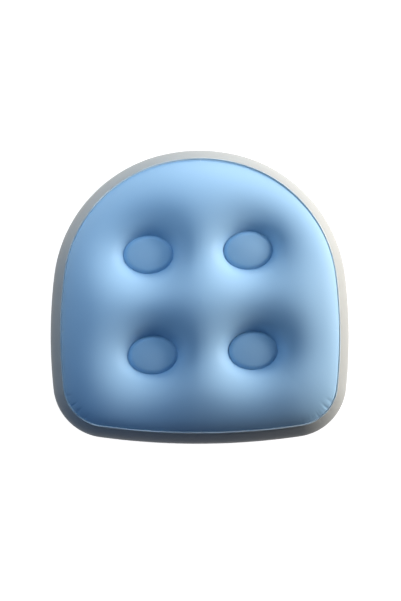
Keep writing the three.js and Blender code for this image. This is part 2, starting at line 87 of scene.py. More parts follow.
back = Vector((-tan(CAMERA_LEAN[0]), -tan(CAMERA_LEAN[1]), 1)).normalized()
right = Vector((0, 1, 0)).cross(back).normalized()
up = back.cross(right)
turned_right = right * cos(CAMERA_ROLL) + up * sin(CAMERA_ROLL)
turned_up = up * cos(CAMERA_ROLL) - right * sin(CAMERA_ROLL)
camera = in_scene("camera", bpy.data.cameras.new("camera"))
camera.data.lens = CAMERA_LENS
camera.matrix_world = Matrix.Translation(CAMERA_TARGET + back * CAMERA_DISTANCE) @ Matrix(
    (turned_right, turned_up, back)
).transposed().to_4x4()
bpy.context.scene.camera = camera


# The blue face sheet
# Soft PVC film, cut to a D and welded to the wall sheet along a narrow lip. Four oval welds
# hold it down to the columns inside, and air swells it between them and puffs the ovals.

# The film, the seam's line and its lip
SHEET = 0.0005
WELD_GAP = 0.00015
WALL_HEIGHT = 0.060
WALL_BULGE = 0.016
LIP_HEIGHT = 0.0018
LIP_FOOT = 0.0003
LIP_ROOT = 0.001
LIP_FADE = 0.0008
LIP_WAVE = 0.00022
LIP_WAVES_ROUND = (19, 43, 71, 118)
SHARP_ANGLE = radians(55)
SEAM_BOTTOM = -0.1715
# Each arc's radius, and the way its outward normal points at its end, in degrees
SEAM_ARCS = (
    (0.896195, -82),
    (0.053, -6.5),
    (0.620807, 0),
    (0.620807, 6.5),
    (0.165252, 76.4),
    (0.190, 90),
)

# The oval welds, and the puff inside each
WELD_MIDDLE = np.array((0.0, -0.0095))
WELD_HALF_SIZE = np.array((0.031, 0.0241))
WELD_SPACING = np.array((0.1256, 0.126))
WELD_TURN = radians(2.5)
WELD_BAND = 0.0026
WELD_SINK = 0.001
WELD_RINGS = (
    0.0002, 0.0005, 0.0009, 0.0014, 0.0019, 0.0024, 0.0029,
    0.0033, 0.0037, 0.0041, 0.0045, 0.0050, 0.0060,
)
WELD_INNER_SHARES = (0.18, 0.36, 0.54, 0.7, 0.84, 0.94)
PAD_EDGE = 0.0056
PAD_RISE = 0.0030
PAD_CROWN = 0.0032
PAD_GROOVE = 0.0041
PAD_GROOVE_WIDTH = 0.0005
PAD_GROOVE_DEPTH = 0.00010

# The face's swell. A power under 1 makes it fuller, and one over 1 flatter
FACE_CREST = 0.0243
FACE_POWER = 1.05
FACE_SEAM_POWERS = (0.6, 0.85, 1.17)
FACE_END_POWERS = (4, 2)
FACE_SHOULDER = 0.034
FACE_SHOULDER_POWER = 1.5
FACE_REACH = 0.17
FACE_TUCK = 0.26
FACE_TUCK_WIDTH = 0.33
FACE_SINK = 0.003
FACE_SINK_WIDTH = 0.56
# Where the uneven film stands higher or lower: x, y and by how much
FACE_SWELLS = (
    (-0.010, -0.100, 0.0019),
    (-0.010, -0.030, 0.0016),
    (-0.010, 0.055, 0.0015),
    (-0.110, -0.020, -0.0012),
    (-0.085, -0.130, -0.0024),
    (0.055, -0.135, 0.0006),
    (0.120, -0.120, 0.0032),
)
FACE_SWELL_WIDTH = 0.030
FACE_HOLD = 0.008
FACE_HOLD_SCALE = 0.25
FACE_STEPS = (36, 72, 20, 20, 58, 13)
FACE_LINE_STEPS = 44
FACE_RINGS = 28
RING_EVENNESS = 0.35

# The air that the cloth solver blows in, and the net that it moves
AIR_REACH = 0.180
AIR_PITCH = 0.0045
AIR_WELD_SCALE = 1.02
AIR_FRAMES = 20
AIR_QUALITY = 5
AIR_PRESSURE = 40.0
AIR_MASS = 0.02
AIR_STIFFNESS = 1.0
AIR_SHEAR_STIFFNESS = AIR_STIFFNESS / 3
AIR_BENDING = 0.05
AIR_CREASE_PASSES = 30
FACE_AIR_MOVE = 0.005

# The puckers. Places are distances along the seam from the middle of the straight end, to the
# right for the right side and to the left for the left
PUCKER_PITCH = 0.0046
PUCKER_SPARSE_PITCH = 0.0065
PUCKER_PITCH_SHARES = (0.75, 1.3)
PUCKER_HALF_WIDTHS = (0.0008, 0.0013)
PUCKER_LENGTHS = (0.0035, 0.0075)
PUCKER_DEPTH = 0.0006
PUCKER_DEPTH_SHARES = (0.4, 1)
PUCKER_END_SHARE = 0.25
PUCKER_SIDE_SHARE = 0.35
PUCKER_START = 0.0012
RIGHT_CORNER = (0.108, 0.212)
LEFT_CORNER = (0.104, 0.216)
LEFT_SIDE_END = 0.420
# The deepest puckers: place, half width, length and depth
RIGHT_PUCKERS = (
    (0.1752, 0.0015, 0.0070, 0.0012),
    (0.1655, 0.0017, 0.0078, 0.0013),
    (0.1500, 0.0014, 0.0060, 0.0009),
)
LEFT_PUCKERS = (
    (0.1468, 0.0014, 0.0062, 0.0011),
    (0.1597, 0.0017, 0.0075, 0.0014),
    (0.1703, 0.0015, 0.0066, 0.0013),
    (0.1842, 0.0015, 0.0060, 0.0010),
)

wall_radius = ((WALL_HEIGHT / 2) ** 2 + WALL_BULGE**2) / (2 * WALL_BULGE)
wall_half_angle = asin(WALL_HEIGHT / 2 / wall_radius)
lip_out, lip_up = cos(wall_half_angle), sin(wall_half_angle)
face_seam_z = equator + WALL_HEIGHT / 2
back_seam_z = equator - WALL_HEIGHT / 2


def seam_loop(steps):
    """Points and outward normals round the D, anticlockwise from the middle of its straight end."""
    angle = -pi / 2
    at = np.array((0.0, SEAM_BOTTOM))
    points, normals = [at], [np.array((0.0, -1.0))]
    for (radius, end), count in zip(SEAM_ARCS, steps):
        centre = at - radius * np.array((cos(angle), sin(angle)))
        for turn in np.linspace(angle, radians(end), count + 1)[1:]:
            normals.append(np.array((cos(turn), sin(turn))))
            points.append(centre + radius * normals[-1])
        angle, at = radians(end), points[-1]
    points, normals = np.array(points), np.array(normals)
    points[-1, 0] = 0
    mirror = np.array((-1, 1))
    return (
        np.vstack([points, points[-2:0:-1] * mirror]),
        np.vstack([normals, normals[-2:0:-1] * mirror]),
    )


def weld_centres():
    """Each oval weld's name, its side and end of the D, and its middle."""
    c, s = cos(WELD_TURN), sin(WELD_TURN)
    for name, side, end in (
        ("upper_left", -1, 1),
        ("upper_right", 1, 1),
        ("lower_left", -1, -1),
        ("lower_right", 1, -1),
    ):
        x, y = np.array((side, end)) * WELD_SPACING / 2
        yield name, side, end, np.array((x * c - y * s, x * s + y * c)) + WELD_MIDDLE


def weld_ring(centre, angles, inset=0.0):
    """Points of an oval weld's edge, or of a line that lies inset inside it."""
    c, s = cos(WELD_TURN), sin(WELD_TURN)
    circle = np.column_stack([np.cos(angles), np.sin(angles)])
    normal = circle / WELD_HALF_SIZE
    normal /= np.linalg.norm(normal, axis=1)[:, None]
    x, y = (WELD_HALF_SIZE * circle - inset * normal).T
    return centre + np.column_stack([x * c - y * s, x * s + y * c])


def in_weld(plan, centre):
    """The points' places in one oval weld's own axes, as shares of its half size."""
    c, s = cos(WELD_TURN), sin(WELD_TURN)
    x, y = (plan - centre).T
    return np.column_stack([x * c + y * s, y * c - x * s]) / WELD_HALF_SIZE


def weld_scale(plan):
    """How far each point lies out on its nearest weld's oval: under 1 inside it, 1 on its edge."""
    return np.min([np.hypot(*in_weld(plan, centre).T) for *_, centre in weld_centres()], axis=0)


def air_pad(plan):
    """The part of a sheet inside an oval weld: a rounded step up from the crease, the fine groove
    of the weld's inner edge and a low crown. It gives the heights and how much the groove shows."""
    scale, inset = np.full(len(plan), np.inf), np.zeros(len(plan))
    for *_, centre in weld_centres():
        u = in_weld(plan, centre)
        own = np.maximum(np.linalg.norm(u, axis=1), 1e-6)
        slope = np.maximum(np.linalg.norm(u / WELD_HALF_SIZE, axis=1) / own, 1e-6)
        inset = np.where(own < scale, (1 - own) / slope, inset)
        scale = np.minimum(own, scale)
    edge = np.clip(1 - inset / PAD_EDGE, 0, 1)
    groove = np.exp(-(((inset - PAD_GROOVE) / PAD_GROOVE_WIDTH) ** 2))
    rise = PAD_RISE * (1 - edge**2) - PAD_GROOVE_DEPTH * groove
    return (rise + PAD_CROWN * np.clip(1 - scale**2, 0, 1)) * (scale < 1), groove * (scale < 1)


def bands(ring):
    """Four-sided faces between the rows of a grid of point numbers, each row closed on itself."""
    following = np.roll(ring, -1, axis=1)
    quads = np.stack([ring[:-1], ring[1:], following[1:], following[:-1]], axis=-1)
    return [tuple(map(int, q)) for q in quads.reshape(-1, 4)]


def sheet_plan(steps, line_steps, ring_count):
    """The flat plan of a D sheet: four webs of rings, each round one weld and out to the seam."""
    seam, _ = seam_loop(steps)
    total, half, widest = len(seam), sum(steps), sum(steps[:3])
    even = np.linspace(0, 1, ring_count + 1)[1:]
    shares = RING_EVENNESS * even + (1 - RING_EVENNESS) * (1 - np.cos(pi * even)) / 2
    points, faces, start = [], [], 0
    for _, side, end, centre in weld_centres():
        first, last = (0, widest) if end < 0 else (widest, half)
        stations = np.arange(first, last + 1)
        if side < 0:
            stations = (total - stations[::-1]) % total
        edge = seam[stations]
        along = np.linspace(0, 1, line_steps + 1)[1:, None]
        inward = edge[-1] + (WELD_MIDDLE - edge[-1]) * along
        outward = WELD_MIDDLE + (edge[0] - WELD_MIDDLE) * along[:-1]
        boundary = np.vstack([edge, inward, outward])
        count = len(boundary)
        towards = (boundary - centre) / WELD_HALF_SIZE
        angles = np.unwrap(np.arctan2(towards[:, 1], towards[:, 0])) - WELD_TURN
        angles = (angles + angles[0] + 2 * pi * np.arange(count) / count) / 2
        oval = weld_ring(centre, angles)
        band = [weld_ring(centre, angles, inset) for inset in WELD_RINGS[::-1]]
        rings = [centre + (band[0] - centre) * k for k in WELD_INNER_SHARES]
        rings += band + [oval] + [oval + (boundary - oval) * k for k in shares]
        points += [centre[None], *rings]
        ring = start + 1 + np.arange(len(rings))[:, None] * count + np.arange(count)
        faces += [(start, a, b) for a, b in zip(ring[0], np.roll(ring[0], -1))]
        faces += bands(ring)
        start += 1 + len(rings) * count
    points = np.vstack(points)
    # Points that two webs share become one. The shift keeps them off the rounding's own steps
    grid = np.round(points * 1e6 + 0.317)
    _, keep, where = np.unique(grid, axis=0, return_index=True, return_inverse=True)
    where = where.ravel()
    return points[keep], [tuple(int(where[v]) for v in face) for face in faces]


def stretched(plan, faces, held):
    """Heights of a thin sheet that air pushes out between its held points (conjugate gradients)."""
    tris = np.array([(f[0], f[k], f[k + 1]) for f in faces for k in range(1, len(f) - 1)])
    corner = plan[tris]
    a, b = corner[:, 1] - corner[:, 0], corner[:, 2] - corner[:, 0]
    twice_area = a[:, 0] * b[:, 1] - a[:, 1] * b[:, 0]
    ends, weights = [], []
    for k in range(3):
        i, j, apex = tris[:, k], tris[:, (k + 1) % 3], tris[:, (k + 2) % 3]
        ends.append(np.stack([i, j], axis=1))
        weights.append(((plan[i] - plan[apex]) * (plan[j] - plan[apex])).sum(1) / (2 * twice_area))
    i, j = np.vstack(ends).T
    weight = np.concatenate(weights)
    count, free = len(plan), ~held

    def pull(h):
        flow = weight * (h[i] - h[j])
        return (np.bincount(i, flow, count) - np.bincount(j, flow, count)) * free

    diagonal = np.where(free, np.bincount(i, weight, count) + np.bincount(j, weight, count), 1)
    load = np.bincount(tris.ravel(), np.repeat(twice_area / 6, 3), count) * free
    h, residual = np.zeros(count), load
    scaled = residual / diagonal
    direction, energy = scaled, residual @ scaled
    enough = 1e-12 * energy
    while energy > enough:
        pulled = pull(direction)
        step = energy / (direction @ pulled)
        h = h + step * direction
        residual = residual - step * pulled
        scaled = residual / diagonal
        direction = scaled + (residual @ scaled) / energy * direction
        energy = residual @ scaled
    return h


def seam_place(plan, seam):
    """How far each point lies from the seam, and how far round the seam its nearest place is. The
    points are taken in parts, to save memory."""
    run = np.concatenate([[0], np.cumsum(np.linalg.norm(np.diff(seam, axis=0), axis=1))])
    gaps, runs = [], []
    for part in np.array_split(plan, 60):
        apart = np.linalg.norm(part[:, None] - seam[None], axis=2)
        nearest = apart.argmin(1)
        gaps.append(apart[np.arange(len(part)), nearest])
        runs.append(run[nearest])
    return np.concatenate(gaps), np.concatenate(runs)


def mesh_object(name, points, faces):
    """An object in the scene, made of points and faces."""
    mesh = bpy.data.meshes.new(name)
    mesh.from_pydata([tuple(map(float, p)) for p in points], [], faces)
    mesh.update()
    return in_scene(name, mesh)


def inflated(plan, faces, heights, held, cap):
    """Blows up a sheet with Blender's cloth solver, while its welds and seam stay put, and gives
    the way that each point of it has moved."""
    scene = bpy.context.scene
    rest = np.column_stack([plan, heights])
    sheet = mesh_object("swelling sheet", rest, faces)
    pins = sheet.vertex_groups.new(name="held")
    pins.add([int(v) for v in np.flatnonzero(held)], 1.0, "ADD")
    cloth = sheet.modifiers.new("air", "CLOTH")
    settings = cloth.settings
    settings.quality = AIR_QUALITY
    settings.mass = AIR_MASS
    settings.tension_stiffness = AIR_STIFFNESS
    settings.compression_stiffness = AIR_STIFFNESS
    settings.shear_stiffness = AIR_SHEAR_STIFFNESS
    settings.bending_stiffness = AIR_BENDING
    settings.use_pressure = True
    settings.uniform_pressure_force = AIR_PRESSURE
    settings.vertex_group_mass = pins.name
    settings.effector_weights.gravity = 0
    cloth.collision_settings.use_collision = False
    for frame_number in range(1, AIR_FRAMES + 1):
        scene.frame_set(frame_number)
    swollen = sheet.evaluated_get(bpy.context.evaluated_depsgraph_get()).to_mesh()
    moved = np.empty(rest.size)
    swollen.vertices.foreach_get("co", moved)
    bpy.data.objects.remove(sheet)
    scene.frame_set(1)
    move = moved.reshape(-1, 3) - rest
    length = np.linalg.norm(move, axis=1)
    move *= np.minimum(1, cap / np.maximum(length, 1e-9))[:, None]
    # The real film is too stiff for the solver's fine creases, so they are smoothed away
    i, j = np.array([(f[k - 1], f[k]) for f in faces for k in range(len(f))]).T
    count = len(plan)
    share = np.bincount(i, minlength=count) + np.bincount(j, minlength=count)
    for _ in range(AIR_CREASE_PASSES):
        for axis in range(3):
            near = np.bincount(i, move[j, axis], count) + np.bincount(j, move[i, axis], count)
            move[:, axis] = np.where(held, 0, near / share)
    return move


def carried(move, from_plan, from_faces, to_plan):
    """The movement of one plan's points, read at the points of a finer plan of the same sheet."""
    flat = [Vector((x, y, 0)) for x, y in from_plan]
    tree = BVHTree.FromPolygons(flat, from_faces)
    carried_move = np.empty((len(to_plan), 3))
    for i, (x, y) in enumerate(to_plan):
        at, _, face, _ = tree.find_nearest(Vector((x, y, 0)))
        corners = from_faces[face]
        shares = poly_3d_calc([flat[v] for v in corners], at)
        carried_move[i] = sum(share * move[v] for share, v in zip(shares, corners))
    return carried_move


def puckered(run, gap, folds):
    """How deep the small folds are that gather along a seam and run away from it."""
    depth = np.zeros(len(run))
    for place, half_width, length, deep in folds:
        across = np.exp(-(((run - place) / half_width) ** 2))
        depth += deep * across * (1 - np.exp(-gap / PUCKER_START)) * np.exp(-((gap / length) ** 2))
    return depth


def gathered(rng, start, end, peak, pitch=PUCKER_PITCH):
    """A row of small folds along a stretch of the seam, of uneven width, length and depth, and
    deepest in its middle."""
    place = start
    while place < end:
        share = sin(pi * (place - start) / (end - start))
        yield (
            place,
            rng.uniform(*PUCKER_HALF_WIDTHS),
            rng.uniform(*PUCKER_LENGTHS),
            peak
            * (PUCKER_END_SHARE + (1 - PUCKER_END_SHARE) * share)
            * rng.uniform(*PUCKER_DEPTH_SHARES),
        )
        place += pitch * rng.uniform(*PUCKER_PITCH_SHARES)


def sheet_pieces(plan, faces, steps):
    """What a welded sheet needs of its plan: each point's distance to the seam and run along it,
    which points are inside the welds and on the seam, and the seam's points in order, with their
    normals."""
    seam, normals = seam_loop(steps)
    gap, run = seam_place(plan, seam)
    inside = weld_scale(plan) <= 1 + 1e-6
    on_seam = gap < 1e-7
    order = [int(np.linalg.norm(plan - p, axis=1).argmin()) for p in seam]
    return gap, run, inside, on_seam, order, normals


def with_lip(points, faces, order, normals, seam_z, up, rng):
    """Turns a panel's edge out into its half of the lip: three rows of points up the lip."""
    near = WELD_GAP + SHEET
    points = points.copy()
    count = len(order)
    phase = np.arange(count) / count * 2 * pi
    wave = sum(
        np.sin(phase * waves + rng.uniform(0, 2 * pi)) / (1 + k)
        for k, waves in enumerate(LIP_WAVES_ROUND)
    )
    wave *= LIP_WAVE / 2
    edge = points[order, :2].copy()
    rows = []
    for proud in (0.0, LIP_FOOT, LIP_ROOT, LIP_HEIGHT):
        out = -near * lip_up + proud * lip_out + wave * proud / LIP_HEIGHT
        z = seam_z + up * (proud * lip_up + near * lip_out + 0.5 * wave * proud / LIP_HEIGHT)
        rows.append(np.column_stack([edge + normals * np.atleast_1d(out)[:, None], z * np.ones(count)]))
    points[order] = rows[0]
    start = len(points)
    ring = np.vstack([order, start + np.arange(3 * count).reshape(3, count)])
    return np.vstack([points, *rows[1:]]), faces + bands(ring)


def finished(obj):
    """Applies the modifiers, smooths the faces and keeps the real edges sharp."""
    mesh = bpy.data.meshes.new_from_object(obj.evaluated_get(bpy.context.evaluated_depsgraph_get()))
    obj.modifiers.clear()
    obj.data = mesh
    mesh.shade_smooth()
    mesh.set_sharp_from_angle(angle=SHARP_ANGLE)
    return obj


def thick(obj):
    """Gives a sheet its thickness, inwards from its outer skin."""
    film_step = obj.modifiers.new("film", "SOLIDIFY")
    film_step.thickness = SHEET
    film_step.offset = -1
    return finished(obj)


def marked(obj, name, values):
    """Stores a value for each point of a piece, for its material."""
    mark = obj.data.attributes.new(name, "FLOAT", "POINT")
    mark.data.foreach_set("value", np.asarray(values, np.float32))


def weld_marks(obj, groove, gap, order, kept=slice(None)):
    """Marks where a sheet is pressed by a weld, and where it is its half of the lip."""
    # The lip mask also fades in over the film just inside the seam, and it carries the painted
    # highlight of the lip colour
    lip = np.concatenate([np.clip(1 - gap / LIP_FADE, 0, 1), np.ones(3 * len(order))])
    marked(obj, "pressed", np.concatenate([groove, np.zeros(3 * len(order))])[kept])
    marked(obj, "lip", lip[kept])


rng = np.random.default_rng(7)
face_plan, face_faces = sheet_plan(FACE_STEPS, FACE_LINE_STEPS, FACE_RINGS)
gap, run, inside, on_seam, order, normals = sheet_pieces(face_plan, face_faces, FACE_STEPS)


def face_height(plan, faces, gap, inside, on_seam):
    """The air's swell between the welds and the seam, with fuller sides and a flatter round end.
    No sheet is quite even, so it also stands higher down the middle and at one corner."""
    open_faces = [f for f in faces if not all(inside[v] for v in f)]
    swell = stretched(plan, open_faces, inside | on_seam)
    by_side, by_straight, by_round = FACE_SEAM_POWERS
    to_straight, to_round = FACE_END_POWERS
    by_seam = np.exp(-((gap / FACE_SHOULDER) ** FACE_SHOULDER_POWER))
    along = (plan[:, 1] - WELD_MIDDLE[1]) / FACE_REACH
    seam_power = (
        by_side
        + (by_straight - by_side) * np.maximum(-along, 0) ** to_straight
        + (by_round - by_side) * np.maximum(along, 0) ** to_round
    )
    power = FACE_POWER + (seam_power - FACE_POWER) * by_seam
    scale = weld_scale(plan)
    tuck = 1 + FACE_TUCK * np.exp(-np.maximum(scale - 1, 0) / FACE_TUCK_WIDTH)
    swell = FACE_CREST * (swell / swell.max()) ** power * tuck
    off_welds = 1 - np.exp(-np.maximum(scale - 1, 0) / FACE_HOLD_SCALE)
    give = (1 - np.exp(-gap / FACE_HOLD)) * off_welds
    for x, y, fuller in FACE_SWELLS:
        apart = np.linalg.norm(plan - (x, y), axis=1) / FACE_SWELL_WIDTH
        swell = swell + fuller * np.exp(-(apart**2) / 2) * give
    near_weld = np.clip(1 - (scale - 1) / FACE_SINK_WIDTH, 0, 1)
    return np.where(inside, -FACE_SINK, swell - FACE_SINK * near_weld**2)


def air_grid():
    """A square net inside the D for the cloth solver, with its border and its welds held."""
    line = np.arange(-AIR_REACH, AIR_REACH + AIR_PITCH / 2, AIR_PITCH)
    x, y = np.meshgrid(line, line)
    net = np.column_stack([x.ravel(), y.ravel()])
    seam, normals = seam_loop(FACE_STEPS)
    within = ((net - WELD_MIDDLE) @ normals.T < ((seam - WELD_MIDDLE) * normals).sum(1)).all(1)
    number = np.arange(len(net)).reshape(x.shape)
    corners = (number[:-1, :-1], number[:-1, 1:], number[1:, 1:], number[1:, :-1])
    cells = np.stack(corners, axis=-1).reshape(-1, 4)
    cells = cells[within[cells].all(1)]
    kept, cells = np.unique(cells, return_inverse=True)
    cells = cells.reshape(-1, 4)
    border = np.bincount(cells.ravel(), minlength=len(kept)) < 4
    net = net[kept]
    return net, [tuple(map(int, c)) for c in cells], border | (weld_scale(net) <= AIR_WELD_SCALE)


heights = face_height(face_plan, face_faces, gap, inside, on_seam)
shape = np.column_stack([face_plan, heights])
air_plan, air_faces, air_held = air_grid()
lifted = carried(shape * (0, 0, 1), face_plan, face_faces, air_plan)
move = inflated(air_plan, air_faces, lifted[:, 2], air_held, FACE_AIR_MOVE)
shape += carried(move, air_plan, air_faces, face_plan) * ~(inside | on_seam)[:, None]

pad, groove = air_pad(face_plan)
shape[:, 2] += pad
seam, _ = seam_loop(FACE_STEPS)
perimeter = run.max() + np.linalg.norm(seam[0] - seam[-1])
corner_end, corner_start = (perimeter - place for place in LEFT_CORNER)
side_start, side_depth = perimeter - LEFT_SIDE_END, PUCKER_SIDE_SHARE * PUCKER_DEPTH
folds = [
    *gathered(rng, *RIGHT_CORNER, PUCKER_DEPTH),
    *gathered(rng, corner_start, corner_end, PUCKER_DEPTH),
    *gathered(rng, side_start, corner_start, side_depth, PUCKER_SPARSE_PITCH),
    *RIGHT_PUCKERS,
    *((perimeter - place, *rest) for place, *rest in LEFT_PUCKERS),
]
shape[:, 2] -= puckered(run, gap, folds)
shape[:, 2] += face_seam_z
points, faces = with_lip(shape, face_faces, order, normals, face_seam_z, 1, rng)
face_skin = mesh_object("face_skin", points, faces)
weld_marks(face_skin, groove, gap, order)
thick(face_skin)
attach(face_skin, "cushion")
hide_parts("face_panel")


def node(nodes, kind, **settings):
    """A new shader node with its settings."""
    made = nodes.new(kind)
    for title, value in settings.items():
        setattr(made, title, value)
    return made


# The last colour is painted highlight: a paler colour on the lip that shows the bright line along the
# seam
FILM_COLOURS = ("Color", "Cloud Color", "Pressed Color", "Lip Color")
FILM_GLOSS = 0.3


def film_group():
    """PVC film: a fine matte grain, cloudy roughness, soft colour clouds, and bands pressed smooth."""
    group = bpy.data.node_groups.new("film", "ShaderNodeTree")
    for title, kind, value in (
        *((title, "NodeSocketColor", (0.5, 0.5, 0.5, 1)) for title in FILM_COLOURS),
        ("Cloud Scale", "NodeSocketFloat", 14.0),
        ("Grain Scale", "NodeSocketFloat", 1600.0),
        ("Grain Depth", "NodeSocketFloat", 0.00002),
        ("Stretch", "NodeSocketVector", (1, 1, 1)),
        ("Low Roughness", "NodeSocketFloat", 0.35),
        ("High Roughness", "NodeSocketFloat", 0.45),
    ):
        socket = group.interface.new_socket(title, in_out="INPUT", socket_type=kind)
        socket.default_value = value
    for title, kind in (
        ("Color", "NodeSocketColor"),
        ("Roughness", "NodeSocketFloat"),
        ("Normal", "NodeSocketVector"),
    ):
        group.interface.new_socket(title, in_out="OUTPUT", socket_type=kind)
    nodes, link = group.nodes, group.links.new
    given, result = nodes.new("NodeGroupInput"), nodes.new("NodeGroupOutput")
    place = node(nodes, "ShaderNodeTexCoord")
    scaled = node(nodes, "ShaderNodeVectorMath", operation="MULTIPLY")
    link(place.outputs["Object"], scaled.inputs[0])
    link(given.outputs["Stretch"], scaled.inputs[1])
    clouds = node(nodes, "ShaderNodeTexNoise")
    clouds.inputs["Detail"].default_value = 4
    link(scaled.outputs[0], clouds.inputs["Vector"])
    link(given.outputs["Cloud Scale"], clouds.inputs["Scale"])
    grain = node(nodes, "ShaderNodeTexNoise")
    grain.inputs["Detail"].default_value = 2
    link(place.outputs["Object"], grain.inputs["Vector"])
    link(given.outputs["Grain Scale"], grain.inputs["Scale"])

    # The colour: clouds first, then the bands that the welds press, then the lip's paler colour, which
    # is painted highlight
    pressed = node(nodes, "ShaderNodeAttribute", attribute_name="pressed")
    lip = node(nodes, "ShaderNodeAttribute", attribute_name="lip")
    colour = given.outputs["Color"]
    for mask, title in ((clouds, "Cloud Color"), (pressed, "Pressed Color"), (lip, "Lip Color")):
        mixed = node(nodes, "ShaderNodeMix", data_type="RGBA")
        link(mask.outputs["Fac"], mixed.inputs["Factor"])
        link(colour, mixed.inputs["A"])
        link(given.outputs[title], mixed.inputs["B"])
        colour = mixed.outputs["Result"]
    link(colour, result.inputs["Color"])

    rough = node(nodes, "ShaderNodeMapRange")
    link(clouds.outputs["Fac"], rough.inputs["Value"])
    link(given.outputs["Low Roughness"], rough.inputs["To Min"])
    link(given.outputs["High Roughness"], rough.inputs["To Max"])
    link(rough.outputs["Result"], result.inputs["Roughness"])

    # The grain, which the pressed bands have lost
    flat = node(nodes, "ShaderNodeMath", operation="SUBTRACT")
    flat.inputs[0].default_value = 1
    link(pressed.outputs["Fac"], flat.inputs[1])
    deep = node(nodes, "ShaderNodeMath", operation="MULTIPLY")
    link(flat.outputs[0], deep.inputs[0])
    link(given.outputs["Grain Depth"], deep.inputs[1])
    bump = node(nodes, "ShaderNodeBump")
    bump.inputs["Strength"].default_value = 0.5
    link(deep.outputs[0], bump.inputs["Distance"])
    link(grain.outputs["Fac"], bump.inputs["Height"])
    link(bump.outputs["Normal"], result.inputs["Normal"])
    return group


film = film_group()


def film_material(name, *colours, gloss=FILM_GLOSS, **values):
    """A film: the film group with a sheet's own colours and values. What the welds press and the
    lip have the first colour where none is given for them."""
    material = bpy.data.materials.new(name)
    material.use_nodes = True
    nodes, link = material.node_tree.nodes, material.node_tree.links.new
    shader = nodes["Principled BSDF"]
    effect = nodes.new("ShaderNodeGroup")
    effect.node_tree = film
    for title, colour in zip(FILM_COLOURS, (*colours, colours[0], colours[0])):
        effect.inputs[title].default_value = (*colour, 1)
    for title, value in values.items():
        effect.inputs[title.replace("_", " ")].default_value = value
    link(effect.outputs["Color"], shader.inputs["Base Color"])
    link(effect.outputs["Roughness"], shader.inputs["Roughness"])
    link(effect.outputs["Normal"], shader.inputs["Normal"])
    shader.inputs["Specular IOR Level"].default_value = gloss
    return material


blue_film = film_material(
    "blue satin film",
    (0.34, 0.55, 0.755),
    (0.36, 0.57, 0.775),
    (0.38, 0.60, 0.80),
    # Painted highlight: the lip's paler colour shows the bright line along the seam
    (0.64, 0.74, 0.79),
    Low_Roughness=0.54,
    High_Roughness=0.62,
)
face_skin.data.materials.append(blue_film)


# The grey side wall
# One strip of grey PVC film runs round the cushion between its face and its back. The air rounds
# it outwards, and its edges turn out into the outer halves of the two lips.

WALL_PROFILE_STEPS = 26
WALL_PUCKER = 0.35
WALL_FOLD_WIDENING = 1.3
WALL_FOLD_LENGTH = 0.006

far = WELD_GAP + SHEET
half = wall_half_angle - far / wall_radius
angles = np.linspace(half, -half, WALL_PROFILE_STEPS + 1)
rows = [
    (far * lip_up + proud * lip_out, WALL_HEIGHT / 2 + proud * lip_up - far * lip_out)
    for proud in (LIP_HEIGHT, LIP_ROOT)
]
rows += [(wall_radius * (cos(a) - cos(wall_half_angle)), wall_radius * sin(a)) for a in angles]
rows += [(out, -z) for out, z in rows[1::-1]]
seam, normals = seam_loop(FACE_STEPS)
_, wall_run = seam_place(seam, seam)
wall_folds = [
    (place, half_width * WALL_FOLD_WIDENING, WALL_FOLD_LENGTH, depth * WALL_PUCKER)
    for place, half_width, _, depth in folds
]
points = []
count = len(seam)
for out, z in rows:
    from_seam = max(WALL_HEIGHT / 2 - abs(z), 0)
    fold = puckered(wall_run, np.full(count, from_seam), wall_folds)
    edge = seam + normals * (out - fold)[:, None]
    points.append(np.column_stack([edge, np.full(count, equator + z)]))
ring = np.arange(len(rows) * count).reshape(-1, count)
wall_skin = mesh_object("wall_skin", np.vstack(points), bands(ring))
in_lip = np.zeros(len(rows))
in_lip[[0, 1, -2, -1]] = 1
marked(wall_skin, "lip", np.repeat(in_lip, count))
thick(wall_skin)
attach(wall_skin, "cushion")
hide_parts("side_wall")

grey_film = film_material(
    "grey wall film",
    (0.445, 0.45, 0.435),
    (0.465, 0.47, 0.455),
    (0.465, 0.47, 0.455),
    # Painted highlight: the lip's paler colour shows the bright line along the seam
    (0.58, 0.585, 0.575),
    Cloud_Scale=26.0,
    Stretch=(1, 1, 0.12),
    Low_Roughness=0.50,
    High_Roughness=0.60,
)
wall_skin.data.materials.append(grey_film)


# The back sheet
# The same film as the wall, cut and welded like the face. It swells less, because the tub holds
# it, and the valve and the four tabs that carry the suction cups are welded to it.

BACK_RISE = 0.013
BACK_CROWN_POWER = 4
BACK_EDGE_POWER = 0.7
BACK_DIMPLE = 0.017
BACK_STEPS = (24, 36, 12, 12, 38, 9)
BACK_LINE_STEPS = 30
BACK_RINGS = 22
BACK_CORNER = (0.110, 0.210)
BACK_AIR_MOVE = 0.002
VALVE_RADIUS = 0.0169
VALVE_HOLE = 0.0112
PATCH_SPARE = 0.003

cup_places = {}
for name, *_ in weld_centres():
    low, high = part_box(f"suction_cup_{name}")
    cup_places[name] = np.array(((low.x + high.x) / 2, (low.y + high.y) / 2))
low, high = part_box("cup_tab_lower_left")
tab_radius = (high.x - low.x) / 2


def back_height(plan):
    """How far the back stands out: a crown that levels off inside the seam, drawn in at the welds."""
    seam, normals = seam_loop(BACK_STEPS)
    reach = ((seam - WELD_MIDDLE) * normals).sum(1)
    seam_scale = ((plan - WELD_MIDDLE) @ normals.T / reach).max(1)
    swell = BACK_RISE * np.maximum(0, 1 - seam_scale**BACK_CROWN_POWER) ** BACK_EDGE_POWER
    pull = np.ones(len(plan))
    for *_, centre in weld_centres():
        scale = np.maximum(1, np.hypot(*in_weld(plan, centre).T))
        away = np.linalg.norm(plan - centre, axis=1)
        pull *= 1 - np.exp(-away * (1 - 1 / scale) / BACK_DIMPLE)
    return (swell + WELD_SINK) * pull - WELD_SINK


def under_patch(plan, spare=0.0):
    """The points that lie under the valve's flange or a tab's."""
    covered = np.linalg.norm(plan - WELD_MIDDLE, axis=1) < VALVE_RADIUS + spare
    for place in cup_places.values():
        covered |= np.linalg.norm(plan - place, axis=1) < tab_radius + spare
    return covered


